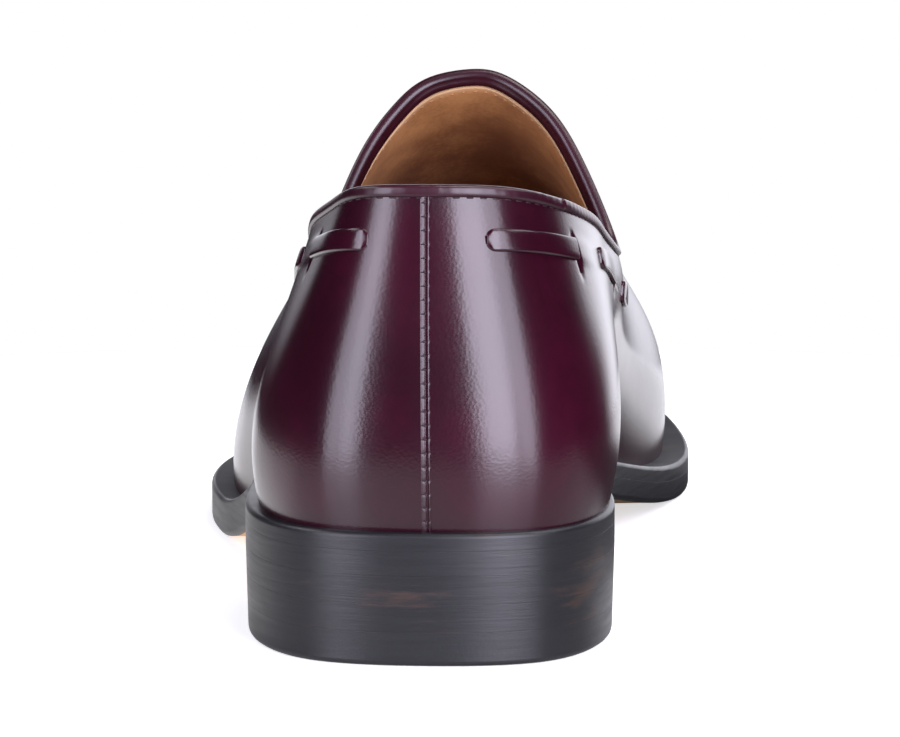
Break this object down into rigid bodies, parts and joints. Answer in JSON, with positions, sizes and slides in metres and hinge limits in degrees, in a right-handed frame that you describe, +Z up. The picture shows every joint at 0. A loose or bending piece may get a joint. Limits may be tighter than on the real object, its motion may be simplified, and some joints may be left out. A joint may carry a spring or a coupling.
{
  "type": "loafer",
  "caption": "Left slip-on dress loafer with a welted leather sole, stacked heel, standing tongue, bound collar and a flat lace woven along the collar.",
  "frame": {"origin": "centre of the shoe's bounding box, on the floor that it stands on", "axes": "+Y from heel to toe, +X toward the inner (medial) side, +Z up"},
  "size_m": [0.1088, 0.3001, 0.1061],
  "materials": {
    "burgundy_calf": "polished smooth calf",
    "lace_calf": "polished flat lace",
    "tan_leather": "matt lining leather",
    "black_edge": "waxed edge ink",
    "black_rubber": "matt moulded rubber"
  },
  "bodies": {
    "root": {"outsole": "black_edge", "welt": "black_edge", "heel_lift_1": "black_edge", "heel_lift_2": "black_edge", "heel_top_piece": "black_rubber", "insole": "tan_leather", "upper": "burgundy_calf", "collar_binding": "burgundy_calf", "lace_lateral_1": "lace_calf", "lace_lateral_2": "lace_calf", "lace_lateral_3": "lace_calf", "lace_medial_1": "lace_calf", "lace_medial_2": "lace_calf", "lace_medial_3": "lace_calf"}
  },
  "joints": []
}
